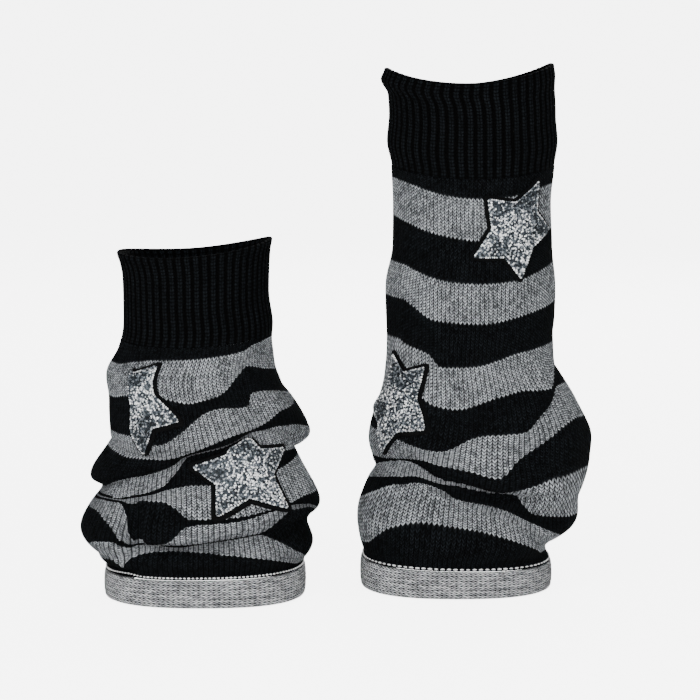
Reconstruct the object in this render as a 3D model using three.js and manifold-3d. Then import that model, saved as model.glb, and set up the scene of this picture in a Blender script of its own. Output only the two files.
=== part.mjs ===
// A pair of knitted leg warmers, filled out as when worn, with nothing inside them.
// The tall one stands nearly straight, and the low one is pushed down into deeper folds.
// Millimetres, +Z up, front towards -Y. The origin is the middle of the tall one's cuff,
// where a calf holds it, and heights in the tables are measured from the surface below.
import * as THREE from 'three';
import { mergeVertices } from 'three/addons/utils/BufferGeometryUtils.js';
import Module from 'manifold-3d';

const wasm = await Module();
wasm.setup();

// Driving sizes
const holdHeight = 330;      // the tall cuff's middle above the hems' lower edge
const wall = 2.2;            // one layer of the knitted body
const seamGap = 0.3;         // between pieces that are knitted or sewn together
const bodyColumns = 40;      // faces round a body
const ribs = 56;             // 1x1 ribs round a cuff
const ribDepth = 1.1;        // from a rib's ridge to the groove beside it
const cuffWall = 2.8;        // from a rib's ridge to the plain inside
const hemHeight = 19;        // the doubled band at the lower end
const hemColumns = 40;
const droop = 26 * Math.PI / 180;      // how far a fold leans downwards as it swells
const seatGap = 0.8;         // between the body and a patch's backing
const backingThickness = 1.2;
const sequinGap = 0.4;       // between a backing and its sequins
const sequinThickness = 1.0;
const borderWidth = 2.6;     // backing that shows round the sequins
const starNotch = 0.565;     // a star's inner radius over its outer radius
const farOut = 99;           // beyond any star's edge

// Hem profile: out from the hem's outline, up from its lower edge
const hemProfile = [
  { out: -4.2, up: 1.3 },
  { out: -3.0, up: 0 },
  { out: -1.2, up: 0 },
  { out: 0, up: 1.8 },
  { out: 0.5, up: 9 },
  { out: 0, up: 17.2 },
  { out: -1.3, up: hemHeight },
  { out: -4.2, up: hemHeight },
];

// The tall leg warmer. A section is a rounded outline at one height: its centre, half width,
// half depth, squareness, how far its front and back dip below its sides, and its tilt.
const tall = {
  name: 'tall',
  x: 0,
  y: 0,
  cuffFrom: 295,
  top: 363,
  sections: [
    { z: 363, x: -2.4, wide: 58.6, deep: 52.5, square: 2.2, dipFront: 10.2, dipBack: 14.5, tilt: 1.6 },
    { z: 356, x: -3.2, wide: 60.4, deep: 54.0, square: 2.2, dipFront: 10, dipBack: 13.5, tilt: 1.4 },
    { z: 345, x: -0.8, wide: 57.8, deep: 52.5, square: 2.1, dipFront: 9.5, dipBack: 11.5, tilt: 1.0 },
    { z: 330, x: 0, wide: 57.8, deep: 52.0, square: 2.1, dipFront: 8, dipBack: 8, tilt: 0 },
    { z: 312, x: 0, wide: 59.2, deep: 53.0, square: 2.1, dipFront: 6, dipBack: 6, tilt: 0 },
    { z: 294, x: 0.6, wide: 56.2, deep: 51.0, square: 2.1, dipFront: 6, dipBack: 6, tilt: 0 },
    { z: 270, x: 0, wide: 54.8, deep: 50.5, square: 2.1, dipFront: 5, dipBack: 5, tilt: 0 },
    { z: 240, x: 0.6, wide: 55.5, deep: 52.0, square: 2.1, dipFront: 4, dipBack: 4, tilt: 0 },
    { z: 212, x: -0.6, wide: 58.8, deep: 53.5, square: 2.1, dipFront: 3, dipBack: 3, tilt: 0 },
    { z: 190, x: -0.6, wide: 58.8, deep: 53.0, square: 2.1, dipFront: 2, dipBack: 2, tilt: 0 },
    { z: 166, x: -1.6, wide: 57.0, deep: 53.0, square: 2.1, dipFront: 0, dipBack: 0, tilt: 0 },
    { z: 137, x: 1.4, wide: 63.8, deep: 54.0, square: 2.1, dipFront: 0, dipBack: 0, tilt: 0 },
    { z: 121, x: 1.6, wide: 65.0, deep: 54.5, square: 2.1, dipFront: 0, dipBack: 0, tilt: 0 },
    { z: 103, x: -1.8, wide: 63.4, deep: 55.0, square: 2.1, dipFront: 0, dipBack: 0, tilt: 0 },
    { z: 78, x: -4.4, wide: 63.4, deep: 56.5, square: 2.15, dipFront: 0, dipBack: 0, tilt: 0 },
    { z: 45, x: -7.0, wide: 64.0, deep: 57.0, square: 2.2, dipFront: 0, dipBack: 0, tilt: 0 },
    { z: 24, x: -10, wide: 64.5, deep: 57.0, square: 2.35, dipFront: 0, dipBack: 0, tilt: -1.0 },
    { z: 19, x: -10, wide: 65.2, deep: 57.2, square: 2.4, dipFront: 0, dipBack: 0, tilt: -1.0 },
  ],
  hem: { x: -10, wide: 67.0, deep: 59.0, square: 2.45, tilt: -1.0 },
  rows: [{ to: 31, step: 4 }, { to: 112, step: 6.5 }, { to: 160, step: 8 }, { to: 295, step: 19 }],
  // A fold runs from one angle to another, 0 at the front and 90 on the right. Its lower edge,
  // its height above that edge and its swell are given at even steps between the two.
  folds: [
    { from: -150, to: 66, fadeIn: 40, fadeOut: 24, peak: 0.42,
      edge: [78, 82, 84, 91, 93, 91, 81, 77, 84],
      height: [52, 60, 64, 54, 42, 38, 34, 30, 26], swell: [7, 8, 8, 8, 9, 9, 9, 8, 6] },
    { from: 18, to: 130, fadeIn: 22, fadeOut: 40, peak: 0.35,
      edge: [112, 128, 145, 156, 160, 160],
      height: [26, 30, 30, 26, 26, 24], swell: [5, 6, 4, 2, 2, 2] },
    { from: -40, to: 185, fadeIn: 26, fadeOut: 44, peak: 0.52,
      edge: [80, 72, 61, 50, 37, 28, 26, 30, 40, 60],
      height: [24, 40, 66, 92, 120, 137, 135, 115, 88, 60],
      swell: [7, 12, 16, 20, 23.5, 24.5, 22.5, 16.5, 12, 8] },
    { from: -180, to: 180, fadeIn: 0, fadeOut: 0, peak: 0.5,
      edge: [21, 21, 21, 21, 21, 24, 33, 26, 21],
      height: [60, 68, 74, 70, 50, 34, 42, 38, 60], swell: [10, 11, 11, 12.5, 11, 8, 6.5, 7, 10] },
    { from: 120, to: 250, fadeIn: 34, fadeOut: 34, peak: 0.4,
      edge: [92, 100, 104, 98, 86],
      height: [40, 48, 50, 46, 40], swell: [7, 10, 11, 10, 7] },
  ],
  // A star patch: the angle and height of its middle, its radius, the angle of its first
  // point, how much taller it lies than wide, how far it leans and the edge that a fold hides.
  stars: [
    { name: 'upper', turn: 30.1, rise: 257.3, radius: 32.4, spin: 129.3, stretch: 1.07, lean: 0.16 },
    { name: 'lower', turn: -52.7, rise: 135.1, radius: 25.9, spin: 113.7, stretch: 1.34, lean: 0.08 },
  ],
};

// The low leg warmer, on the left and a little nearer
const low = {
  name: 'low',
  x: -192,
  y: -28,
  cuffFrom: 180,
  top: 242,
  sections: [
    { z: 242, x: 0.6, wide: 53.4, deep: 48.0, square: 2.25, dipFront: 4.5, dipBack: 7, tilt: 4.5 },
    { z: 235, x: 1.0, wide: 51.8, deep: 47.0, square: 2.15, dipFront: 4, dipBack: 6, tilt: 4.5 },
    { z: 224, x: 1.4, wide: 50.6, deep: 46.5, square: 2.1, dipFront: 3, dipBack: 5, tilt: 3.5 },
    { z: 208, x: 1.4, wide: 50.2, deep: 46.0, square: 2.1, dipFront: 3, dipBack: 3, tilt: 2.5 },
    { z: 188, x: 2.6, wide: 51.6, deep: 46.5, square: 2.1, dipFront: 3, dipBack: 3, tilt: 2.0 },
    { z: 174, x: 0.6, wide: 52.6, deep: 47.0, square: 2.1, dipFront: 3, dipBack: 3, tilt: 2.0 },
    { z: 155, x: -4.0, wide: 56.5, deep: 49.0, square: 2.1, dipFront: 2, dipBack: 2, tilt: 1.0 },
    { z: 135, x: -0.6, wide: 58.8, deep: 51.0, square: 2.1, dipFront: 0, dipBack: 0, tilt: 0 },
    { z: 110, x: 5.2, wide: 63.6, deep: 52.5, square: 2.1, dipFront: 0, dipBack: 0, tilt: 0 },
    { z: 85, x: 5.0, wide: 68.0, deep: 54.5, square: 2.15, dipFront: 0, dipBack: 0, tilt: 0 },
    { z: 55, x: 6.5, wide: 69.5, deep: 56.5, square: 2.2, dipFront: 0, dipBack: 0, tilt: 0 },
    { z: 30, x: 6.5, wide: 67.5, deep: 57.5, square: 2.3, dipFront: 0, dipBack: 0, tilt: 0 },
    { z: 19, x: 6.5, wide: 68.0, deep: 58.0, square: 2.4, dipFront: 0, dipBack: 0, tilt: 0.8 },
  ],
  hem: { x: 6.5, wide: 69.6, deep: 60.0, square: 2.45, tilt: 0.8 },
  rows: [{ to: 31, step: 4 }, { to: 146, step: 6.1 }, { to: 180, step: 8.5 }],
  folds: [
    { from: 34, to: 150, fadeIn: 16, fadeOut: 40, peak: 0.4,
      edge: [140, 145, 148, 149, 147, 142],
      height: [24, 26, 28, 28, 26, 24], swell: [4, 3, 2, 3, 5, 5] },
    { from: 45, to: 150, fadeIn: 32, fadeOut: 40, peak: 0.5,
      edge: [124, 124, 124], height: [40, 40, 40], swell: [5, 5, 5] },
    { from: -125, to: 150, fadeIn: 34, fadeOut: 40, peak: 0.42,
      edge: [114, 111, 106, 101, 101, 107, 117, 112, 101, 97, 100],
      height: [34, 34, 36, 36, 34, 30, 32, 46, 58, 54, 40],
      swell: [4, 1, 1, 5, 9, 9, 8, 13, 17, 15, 9] },
    { from: -150, to: -2, fadeIn: 40, fadeOut: 22, peak: 0.42,
      edge: [84, 78, 75, 77, 83, 91, 99],
      height: [30, 34, 34, 28, 20, 14, 10], swell: [9, 11, 12, 11, 8, 5, 4] },
    { from: -140, to: -33, fadeIn: 36, fadeOut: 13, peak: 0.46,
      edge: [44, 38, 33, 30, 25, 23],
      height: [40, 46, 50, 54, 56, 52], swell: [12, 17, 19, 19, 18, 15] },
    { from: -37, to: 112, fadeIn: 10, fadeOut: 34, peak: 0.42,
      edge: [40, 42, 43, 46, 49, 52, 54, 52, 48],
      height: [36, 34, 32, 34, 38, 44, 46, 48, 50], swell: [14, 14, 12, 12, 12, 13, 14, 15, 15] },
    { from: 80, to: 190, fadeIn: 26, fadeOut: 40, peak: 0.5,
      edge: [46, 44, 42, 46, 54],
      height: [52, 56, 58, 50, 40], swell: [6, 11, 13, 12, 8] },
    { from: -180, to: 180, fadeIn: 0, fadeOut: 0, peak: 0.5,
      edge: [23, 23, 23, 23, 23, 23, 23, 23, 23],
      height: [26, 24, 18, 17, 20, 26, 32, 28, 26], swell: [6, 6, 4, 4, 5, 6, 7.5, 5, 5] },
    { from: 140, to: 262, fadeIn: 34, fadeOut: 34, peak: 0.42,
      edge: [70, 76, 80, 74, 68],
      height: [34, 40, 42, 40, 34], swell: [7, 11, 12, 11, 7] },
    { from: 120, to: 250, fadeIn: 34, fadeOut: 34, peak: 0.42,
      edge: [118, 124, 128, 124, 116],
      height: [30, 38, 40, 38, 32], swell: [6, 9, 10, 9, 6] },
  ],
  stars: [
    { name: 'front', turn: 27.4, rise: 92.3, radius: 30.8, spin: 163, stretch: 0.93, lean: 0.14,
      top: 17 },
    { name: 'side', turn: -36.1, rise: 141.2, radius: 27.1, spin: 61.7, stretch: 1.24, lean: -0.26,
      left: -4.5 },
  ],
};

const colours = { black: 0x151517, grey: 0x7f8187, felt: 0x0c0c0e, sequins: 0xc4c9d2 };

// A curve through a row of values, which never overshoots them
function curveThrough(places, values) {
  const last = places.length - 1;
  const steps = [];
  const rises = [];
  for (let i = 0; i < last; i++) {
    steps.push(places[i + 1] - places[i]);
    rises.push((values[i + 1] - values[i]) / steps[i]);
  }
  const slopes = values.map((value, i) => {
    if (i === 0 || i === last || rises[i - 1] * rises[i] <= 0) return 0;
    const before = 2 * steps[i] + steps[i - 1];
    const after = steps[i] + 2 * steps[i - 1];
    return (before + after) / (before / rises[i - 1] + after / rises[i]);
  });
  return (place) => {
    const at = THREE.MathUtils.clamp(place, places[0], places[last]);
    let i = 0;
    while (i < last - 1 && at > places[i + 1]) i++;
    const t = (at - places[i]) / steps[i];
    const k = 1 - t;
    return values[i] * k * k * (1 + 2 * t) + values[i + 1] * t * t * (1 + 2 * k)
      + steps[i] * t * k * (slopes[i] * k - slopes[i + 1] * t);
  };
}

// A curve through values at even steps from -1 to 1
function evenCurve(values) {
  return curveThrough(values.map((value, i) => 2 * i / (values.length - 1) - 1), values);
}

function smoothRise(t) {
  const s = THREE.MathUtils.clamp(t, 0, 1);
  return s * s * (3 - 2 * s);
}

// A rounded outline of the given half width and half depth, as x and y at one angle
function outlinePoint(wide, deep, square, angle) {
  const s = Math.sin(angle);
  const c = Math.cos(angle);
  const reach = (Math.abs(s) ** square + Math.abs(c) ** square) ** (-1 / square);
  return { x: wide * reach * s, y: -deep * reach * c };
}

// The smooth form of one leg warmer before its folds
function smoothForm(leg) {
  const rows = [...leg.sections].reverse();
  const heights = rows.map((row) => row.z);
  const curve = {};
  for (const key of ['x', 'wide', 'deep', 'square', 'dipFront', 'dipBack', 'tilt']) {
    curve[key] = curveThrough(heights, rows.map((row) => row[key]));
  }
  return (angle, z) => {
    const point = outlinePoint(curve.wide(z), curve.deep(z), curve.square(z), angle);
    const c = Math.cos(angle);
    const dip = c > 0 ? curve.dipFront(z) : curve.dipBack(z);
    return new THREE.Vector3(leg.x + curve.x(z) + point.x, leg.y + point.y,
      z - dip * c * c + curve.tilt(z) * Math.sin(angle));
  };
}

// A fold's cross-section: nothing at its lower edge, full at its peak, nothing at its top
function foldProfile(v, peak) {
  if (v <= 0 || v >= 1) return 0;
  if (v < peak) return Math.sin(Math.PI / 2 * v / peak) ** 1.2;
  return 0.5 + 0.5 * Math.cos(Math.PI * (v - peak) / (1 - peak));
}

// How far the folds swell the cloth at an angle in degrees and a height
function foldSwell(leg) {
  const folds = leg.folds.map((fold) => ({
    ...fold,
    edgeAt: evenCurve(fold.edge),
    heightAt: evenCurve(fold.height),
    swellAt: evenCurve(fold.swell),
    middle: (fold.from + fold.to) / 2,
    half: (fold.to - fold.from) / 2,
  }));
  return (degrees, z) => {
    let swell = 0;
    for (const fold of folds) {
      const turn = THREE.MathUtils.euclideanModulo(degrees - fold.middle + 180, 360) - 180;
      const round = fold.half >= 180;
      const fade = round ? 1 : smoothRise((turn + fold.half) / fold.fadeIn)
        * smoothRise((fold.half - turn) / fold.fadeOut);
      if (fade === 0) continue;
      const u = turn / fold.half;
      const above = z - fold.edgeAt(u);
      swell += fade * fold.swellAt(u) * foldProfile(above / fold.heightAt(u), fold.peak);
    }
    return swell;
  };
}

// The outer surface of one leg warmer: a point for each angle in radians and height
function legSurface(leg) {
  const form = smoothForm(leg);
  const swellAt = foldSwell(leg);
  const nudge = 1e-3;
  return (angle, z) => {
    const before = form(angle - nudge, z);
    const after = form(angle + nudge, z);
    const outward = new THREE.Vector3(after.y - before.y, before.x - after.x, 0).normalize();
    const swell = swellAt(THREE.MathUtils.radToDeg(angle), z);
    const point = form(angle, z).addScaledVector(outward, swell * Math.cos(droop));
    point.z -= swell * Math.sin(droop);
    return point;
  };
}

// Rows of points round a leg warmer, one row for each height
function surfaceGrid(surface, heights, columns) {
  return heights.map((z) => Array.from({ length: columns },
    (_, j) => surface(2 * Math.PI * j / columns - Math.PI, z)));
}

// Outward directions of a grid, level along its first and last rows so that seams stay flush
function gridNormals(grid) {
  const last = grid.length - 1;
  const columns = grid[0].length;
  return grid.map((row, i) => row.map((_, j) => {
    const before = row[(j + columns - 1) % columns];
    const after = row[(j + 1) % columns];
    const below = grid[Math.max(i - 1, 0)][j];
    const above = grid[Math.min(i + 1, last)][j];
    const across = new THREE.Vector3().subVectors(after, before);
    const up = new THREE.Vector3().subVectors(above, below);
    const normal = across.cross(up);
    if (i === 0 || i === last) normal.z = 0;
    return normal.normalize();
  }));
}

// Directions evened out with their neighbours, so that a wall keeps clear of itself in a fold
function evenNormals(normals) {
  const last = normals.length - 1;
  const columns = normals[0].length;
  return normals.map((row, i) => row.map((normal, j) => {
    const sum = normal.clone().multiplyScalar(2);
    sum.add(row[(j + 1) % columns]).add(row[(j + columns - 1) % columns]);
    if (i > 0 && i < last) sum.add(normals[i + 1][j]).add(normals[i - 1][j]);
    return sum.normalize();
  }));
}

function offsetGrid(grid, normals, distance) {
  return grid.map((row, i) => row.map((point, j) => (
    point.clone().addScaledVector(normals[i][j], distance))));
}

function meshFrom(points, triangles) {
  const geometry = new THREE.BufferGeometry();
  const places = points.flatMap((point) => point.toArray());
  geometry.setAttribute('position', new THREE.Float32BufferAttribute(places, 3));
  geometry.setIndex(triangles);
  return geometry;
}

// A closed tube between an outer and an inner grid. The outer one may have more columns,
// split times as many, as where ribs stand over a plain inside.
function tubeSolid(outer, inner) {
  const rows = outer.length;
  const columns = inner[0].length;
  const split = outer[0].length / columns;
  const points = [...outer.flat(), ...inner.flat()];
  const triangles = [];
  const out = (i, j) => i * columns * split + (j % (columns * split));
  const inn = (i, j) => rows * columns * split + i * columns + (j % columns);
  const quad = (a, b, c, d) => triangles.push(a, b, c, a, c, d);
  for (let i = 0; i < rows - 1; i++) {
    for (let j = 0; j < columns * split; j++) {
      quad(out(i, j), out(i, j + 1), out(i + 1, j + 1), out(i + 1, j));
    }
    for (let j = 0; j < columns; j++) {
      quad(inn(i, j + 1), inn(i, j), inn(i + 1, j), inn(i + 1, j + 1));
    }
  }
  for (let j = 0; j < columns; j++) {
    rimFan(triangles, out, inn, rows - 1, j, split, false);
    rimFan(triangles, out, inn, 0, j, split, true);
  }
  return meshFrom(points, triangles);
}

// One column of a rim: half of its outer faces meet each of its two inner corners
function rimFan(triangles, out, inn, row, j, split, downwards) {
  const add = (a, b, c) => triangles.push(...(downwards ? [a, c, b] : [a, b, c]));
  const turn = Math.ceil(split / 2);
  for (let k = 0; k < split; k++) {
    const corner = k < turn ? inn(row, j) : inn(row, j + 1);
    add(corner, out(row, j * split + k), out(row, j * split + k + 1));
  }
  add(inn(row, j), out(row, j * split + turn), inn(row, j + 1));
}

// Heights from one end to the other, with the steps that a short table gives
function rowHeights(from, rows) {
  const heights = [from];
  for (const { to, step } of rows) {
    const start = heights[heights.length - 1];
    const count = Math.round((to - start) / step);
    for (let i = 1; i <= count; i++) heights.push(start + (to - start) * i / count);
  }
  return heights;
}

function bodyGrid(leg, surface) {
  const heights = rowHeights(hemHeight, leg.rows);
  heights[0] += seamGap;
  heights[heights.length - 1] -= seamGap;
  return surfaceGrid(surface, heights, bodyColumns);
}

function bodySolid(leg, surface) {
  const grid = bodyGrid(leg, surface);
  return tubeSolid(grid, offsetGrid(grid, evenNormals(gridNormals(grid)), -wall));
}

// The ribbed cuff: a ridge and a groove for each rib over a plain inside
function cuffSolid(leg, surface) {
  const strips = 3;
  const step = (leg.top - leg.cuffFrom) / strips;
  const heights = rowHeights(leg.cuffFrom, [{ to: leg.top, step }]);
  const ridges = surfaceGrid(surface, heights, 2 * ribs);
  const normals = gridNormals(ridges);
  const outer = ridges.map((row, i) => row.map((point, j) => (
    j % 2 === 1 ? point.clone() : point.clone().addScaledVector(normals[i][j], -ribDepth))));
  const inner = ridges.map((row, i) => row.filter((point, j) => j % 2 === 0).map((point, j) => (
    point.clone().addScaledVector(normals[i][2 * j], -cuffWall))));
  return tubeSolid(outer, inner);
}

// The doubled hem: its rounded profile carried round its outline
function hemSolid(leg) {
  const { hem } = leg;
  const rings = hemProfile.map(({ out, up }) => Array.from({ length: hemColumns }, (_, j) => {
    const angle = 2 * Math.PI * j / hemColumns - Math.PI;
    const point = outlinePoint(hem.wide + out, hem.deep + out, hem.square, angle);
    const lift = hem.tilt * Math.sin(angle) * up / hemHeight;
    return new THREE.Vector3(leg.x + hem.x + point.x, leg.y + point.y, up + lift);
  }));
  const triangles = [];
  for (let i = 0; i < rings.length; i++) {
    const next = (i + 1) % rings.length;
    for (let j = 0; j < hemColumns; j++) {
      const k = (j + 1) % hemColumns;
      const here = i * hemColumns;
      const there = next * hemColumns;
      triangles.push(here + j, here + k, there + k, here + j, there + k, there + j);
    }
  }
  return meshFrom(rings.flat(), triangles);
}

// A closed mesh as a solid that can be cut
function toSolid(geometry) {
  const bare = geometry.clone();
  bare.deleteAttribute('normal');
  bare.deleteAttribute('uv');
  const merged = mergeVertices(bare, 1e-4);
  return new wasm.Manifold(new wasm.Mesh({
    numProp: 3,
    vertProperties: new Float32Array(merged.attributes.position.array),
    triVerts: new Uint32Array(merged.index.array),
  }));
}

function toGeometry(solid) {
  const mesh = solid.getMesh();
  const geometry = new THREE.BufferGeometry();
  geometry.setAttribute('position', new THREE.Float32BufferAttribute(mesh.vertProperties, 3));
  geometry.setIndex([...mesh.triVerts]);
  return geometry;
}

// A star's outline, across and up from its middle, with a rounded border of the given width
// and without what a fold hides
function starOutline(star, border) {
  const corners = [];
  for (let k = 0; k < 10; k++) {
    const angle = THREE.MathUtils.degToRad(star.spin + 36 * k);
    const reach = (k % 2 === 0 ? 1 : starNotch) * star.radius;
    const across = reach * Math.cos(angle);
    corners.push([across, reach * Math.sin(angle) * star.stretch + across * star.lean]);
  }
  const whole = new wasm.CrossSection([corners]).offset(border, 'Round', 2, 20);
  const { left = -farOut, top = farOut } = star;
  const seen = wasm.CrossSection.square([farOut - left, farOut + top]).translate([left, -farOut]);
  return whole.intersect(seen).toPolygons()[0];
}

// A prism that cuts a star out of the cloth's own form, along the way that the star faces
function starPrism(star, surface, border) {
  const turn = THREE.MathUtils.degToRad(star.turn);
  const middle = surface(turn, star.rise);
  const outward = new THREE.Vector3(Math.sin(turn), -Math.cos(turn), 0);
  const right = new THREE.Vector3(Math.cos(turn), Math.sin(turn), 0);
  const nearRadius = 54;
  const reach = 32;
  const flat = starOutline(star, border).map(([across, up]) => {
    const point = surface(turn + across / nearRadius, star.rise + up).sub(middle);
    return new THREE.Vector2(point.dot(right), point.z);
  });
  const shape = new THREE.Shape(flat);
  const prism = new THREE.ExtrudeGeometry(shape, { depth: 2 * reach, bevelEnabled: false });
  const place = new THREE.Matrix4().makeBasis(right, new THREE.Vector3(0, 0, 1), outward);
  place.setPosition(middle.clone().addScaledVector(outward, -reach));
  return toSolid(prism.applyMatrix4(place));
}

// The stretch of the cloth round a star, as a closed layer between two distances from it
function patchLayer(leg, star, surface, near, far) {
  const grid = bodyGrid(leg, surface);
  const turn = THREE.MathUtils.degToRad(star.turn);
  const faces = surface(turn, star.rise);
  const outward = new THREE.Vector3(Math.sin(turn), -Math.cos(turn), 0);
  const spread = star.radius * star.stretch + 12;
  const nearStar = (row) => row.some((point) => Math.abs(point.z - faces.z) < spread);
  const rows = grid.map((_, i) => i).filter((i) => nearStar(grid[i]));
  const centreColumn = Math.round((turn + Math.PI) / (2 * Math.PI) * bodyColumns);
  const halfColumns = 7;
  const columns = Array.from({ length: 2 * halfColumns + 1 },
    (_, k) => (centreColumn - halfColumns + k + bodyColumns) % bodyColumns);
  const layer = (distance) => rows.map((i) => columns.map((j) => (
    grid[i][j].clone().addScaledVector(outward, distance))));
  return slabSolid(layer(far), layer(near));
}

// A closed slab between two grids of the same size
function slabSolid(outer, inner) {
  const rows = outer.length;
  const columns = outer[0].length;
  const points = [...outer.flat(), ...inner.flat()];
  const out = (i, j) => i * columns + j;
  const inn = (i, j) => rows * columns + i * columns + j;
  const triangles = [];
  const quad = (a, b, c, d) => triangles.push(a, b, c, a, c, d);
  for (let i = 0; i < rows - 1; i++) {
    for (let j = 0; j < columns - 1; j++) {
      quad(out(i, j), out(i, j + 1), out(i + 1, j + 1), out(i + 1, j));
      quad(inn(i, j + 1), inn(i, j), inn(i + 1, j), inn(i + 1, j + 1));
    }
    quad(inn(i, 0), out(i, 0), out(i + 1, 0), inn(i + 1, 0));
    quad(out(i, columns - 1), inn(i, columns - 1), inn(i + 1, columns - 1), out(i + 1, columns - 1));
  }
  for (let j = 0; j < columns - 1; j++) {
    quad(inn(0, j), inn(0, j + 1), out(0, j + 1), out(0, j));
    quad(out(rows - 1, j), out(rows - 1, j + 1), inn(rows - 1, j + 1), inn(rows - 1, j));
  }
  return meshFrom(points, triangles);
}

function starSolid(leg, star, surface, near, thickness, border) {
  const layer = toSolid(patchLayer(leg, star, surface, near, near + thickness));
  return toGeometry(layer.intersect(starPrism(star, surface, border)));
}

function namedMesh(name, geometry, color, roughness, metalness = 0) {
  const material = new THREE.MeshStandardMaterial({ color, roughness, metalness });
  const mesh = new THREE.Mesh(geometry, material);
  mesh.name = name;
  return mesh;
}

// One leg warmer: cuff, body, hem and two star patches
function legWarmer(leg) {
  const surface = legSurface(leg);
  const group = new THREE.Group();
  group.add(namedMesh(`${leg.name}_cuff`, cuffSolid(leg, surface), colours.black, 0.95));
  group.add(namedMesh(`${leg.name}_body`, bodySolid(leg, surface), colours.grey, 0.95));
  group.add(namedMesh(`${leg.name}_hem`, hemSolid(leg), colours.grey, 0.95));
  for (const star of leg.stars) {
    const backing = starSolid(leg, star, surface, seatGap, backingThickness, borderWidth);
    const above = seatGap + backingThickness + sequinGap;
    const sequins = starSolid(leg, star, surface, above, sequinThickness, 0);
    const name = `${leg.name}_star_${star.name}`;
    group.add(namedMesh(`${name}_backing`, backing, colours.felt, 0.9));
    group.add(namedMesh(`${name}_sequins`, sequins, colours.sequins, 0.3, 0.6));
  }
  return group;
}

const pair = new THREE.Group();
pair.add(legWarmer(tall), legWarmer(low));
pair.position.z = -holdHeight;

export default pair;
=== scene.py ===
import math
import bmesh
import bpy
import numpy as np
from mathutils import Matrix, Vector
from mathutils.geometry import delaunay_2d_cdt


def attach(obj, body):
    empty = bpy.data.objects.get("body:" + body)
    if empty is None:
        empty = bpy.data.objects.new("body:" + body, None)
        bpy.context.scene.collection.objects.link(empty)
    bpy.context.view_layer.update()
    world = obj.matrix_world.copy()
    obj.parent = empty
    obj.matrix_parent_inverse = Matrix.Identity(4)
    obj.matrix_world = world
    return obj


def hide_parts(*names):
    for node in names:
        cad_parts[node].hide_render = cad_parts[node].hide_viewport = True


# Two knitted leg warmers, filled out as when worn. The tall one stands nearly straight,
# the low one is pushed down into deeper folds. Tables are in millimetres above the floor.
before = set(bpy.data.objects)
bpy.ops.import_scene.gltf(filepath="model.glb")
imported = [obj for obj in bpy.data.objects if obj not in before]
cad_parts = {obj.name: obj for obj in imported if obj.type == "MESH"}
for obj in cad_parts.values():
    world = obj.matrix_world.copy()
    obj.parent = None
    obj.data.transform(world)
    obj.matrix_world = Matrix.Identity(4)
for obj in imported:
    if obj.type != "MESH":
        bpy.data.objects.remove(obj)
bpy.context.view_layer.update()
print("frame loaded")

floorDrop = 330.0      # the origin is this far above the floor, in the tall cuff's middle
pi = math.pi

# camera

cameraPlan = {
    "place": (-0.0847, -2.0, 0.100),
    "target": (-0.0847, 0.0, -0.16462),
    "lens": 148.2,
    "sensor": 36.0,
}


def placeCamera(plan):
    lens = bpy.data.cameras.new("camera")
    lens.lens = plan["lens"]
    lens.sensor_width = plan["sensor"]
    lens.clip_start = 0.05
    camera = bpy.data.objects.new("camera", lens)
    bpy.context.scene.collection.objects.link(camera)
    camera.location = plan["place"]
    aim = Vector(plan["target"]) - camera.location
    camera.rotation_euler = aim.to_track_quat("-Z", "Y").to_euler()
    bpy.context.scene.camera = camera


placeCamera(cameraPlan)

# finishes


class Strand:
    # one output of a node, so that shader sums can be written as sums
    def __init__(self, finish, socket):
        self.finish = finish
        self.socket = socket

    def out(self, key):
        return Strand(self.finish, self.socket.node.outputs[key])

    def sum(self, kind, *others):
        return self.finish.add("ShaderNodeMath", {"operation": kind}, dict(enumerate(others)))

    def __add__(self, other):
        return self.sum("ADD", self, other)

    def __radd__(self, other):
        return self.sum("ADD", other, self)

    def __sub__(self, other):
        return self.sum("SUBTRACT", self, other)

    def __rsub__(self, other):
        return self.sum("SUBTRACT", other, self)

    def __mul__(self, other):
        return self.sum("MULTIPLY", self, other)

    def __rmul__(self, other):
        return self.sum("MULTIPLY", other, self)

    def __truediv__(self, other):
        return self.sum("DIVIDE", self, other)

    def __pow__(self, other):
        return self.sum("POWER", self, other)

    def __abs__(self):
        return self.sum("ABSOLUTE", self)

    def floor(self):
        return self.sum("FLOOR", self)

    def fract(self):
        return self.sum("FRACT", self)

    def sine(self):
        return self.sum("SINE", self)

    def between(self, low, high):
        return self.finish.add("ShaderNodeMapRange", {"clamp": True},
                               {"Value": self, "From Min": low, "From Max": high})


class Finish:
    # a material with its nodes
    def __init__(self, name):
        self.material = bpy.data.materials.new(name)
        self.material.use_nodes = True
        self.tree = self.material.node_tree
        self.tree.nodes.clear()

    def add(self, kind, settings, sockets, out=0):
        node = self.tree.nodes.new(kind)
        for key, value in settings.items():
            if key == "stops":
                self.setStops(node.color_ramp, value)
            else:
                setattr(node, key, value)
        for key, value in sockets.items():
            if isinstance(value, Strand):
                self.tree.links.new(value.socket, node.inputs[key])
            else:
                node.inputs[key].default_value = value
        return Strand(self, node.outputs[out]) if node.outputs else None

    def setStops(self, ramp, stops):
        while len(ramp.elements) < len(stops):
            ramp.elements.new(0.5)
        for element, (place, colour) in zip(ramp.elements, stops):
            element.position = place
            element.color = colour

    def mix(self, factor, first, second):
        return self.add("ShaderNodeMix", {"data_type": "RGBA", "clamp_factor": True},
                        {0: factor, 6: first, 7: second}, out=2)

    def noise(self, place, scale, detail=2.0):
        return self.add("ShaderNodeTexNoise", {},
                        {"Vector": place, "Scale": scale, "Detail": detail})

    def finishWith(self, sockets):
        shader = self.add("ShaderNodeBsdfPrincipled", {}, sockets)
        self.add("ShaderNodeOutputMaterial", {}, {"Surface": shader})
        return self.material


def grey(level, tint=0.0):
    # tint above zero is cooler
    return (level * (1 - tint), level, level * (1 + tint), 1.0)


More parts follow.
